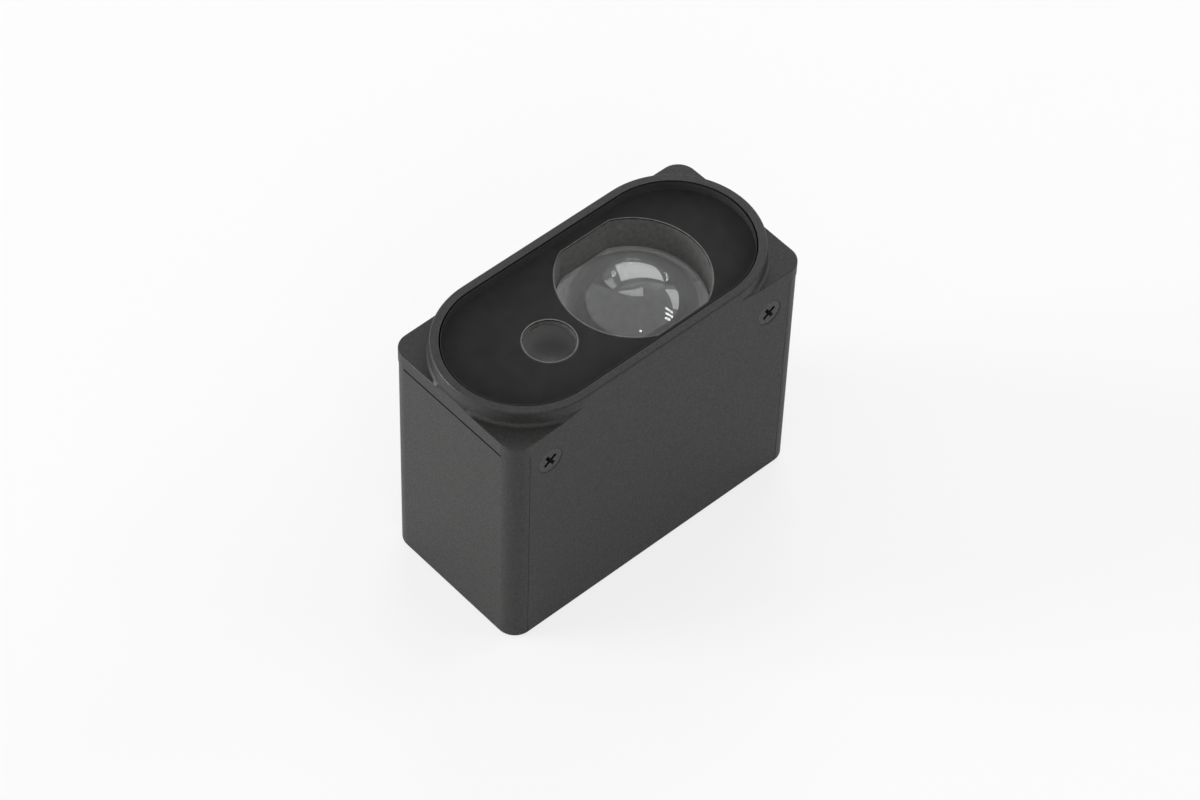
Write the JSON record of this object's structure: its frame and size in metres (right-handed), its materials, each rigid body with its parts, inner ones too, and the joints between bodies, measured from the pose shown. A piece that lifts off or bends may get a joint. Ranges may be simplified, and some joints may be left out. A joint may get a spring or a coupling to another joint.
{
  "type": "optical distance sensor",
  "caption": "Small box-shaped optical distance sensor with a raised stadium window over a large domed receiving lens and a small emitter, with rear fixing holes and connector.",
  "frame": {"origin": "centre of the rear face, which carries the fixing holes and the connector", "axes": "+X along the long side from the emitter to the receiver, +Y across the short side, +Z from the rear face to the window, the way the light leaves"},
  "size_m": [0.045, 0.0218, 0.0371],
  "materials": {
    "case": "fine-grained powder coat, dark grey",
    "cover_glass": "polished, clear",
    "mask": "opaque printed layer, matte",
    "bond": "matte, black",
    "holder": "moulded, matte mid grey",
    "lens_glass": "polished, clear",
    "filter_glass": "coated, deep red",
    "detector_package": "fired, matte, with a gold-coloured face",
    "can": "plated, satin",
    "board": "solder resist, satin green",
    "chip": "moulded, matte black",
    "ferrite": "sintered, dull dark grey",
    "connector_body": "moulded, matte black",
    "contact": "gold plated",
    "seal": "matte, dark grey",
    "screw": "blackened, satin",
    "bright_screw": "zinc plated, satin"
  },
  "bodies": {
    "root": {"front_cover": "case", "rear_housing": "case", "front_window": "cover_glass", "window_mask": "mask", "window_gasket": "bond", "optics_holder": "holder", "receiver_lens": "lens_glass", "emitter_lens": "lens_glass", "bandpass_filter": "filter_glass", "photodetector": "detector_package", "laser_diode": "can", "sensor_board": "board", "main_board": "board", "timing_chip": "chip", "processor_chip": "chip", "power_inductor": "ferrite", "board_header": "connector_body", "header_pins": "contact", "board_socket": "connector_body", "connector_shell": "connector_body", "connector_pins": "contact", "connector_seal": "seal", "cover_screws": "screw", "sensor_board_screws": "bright_screw", "main_board_screws": "bright_screw"}
  },
  "joints": []
}
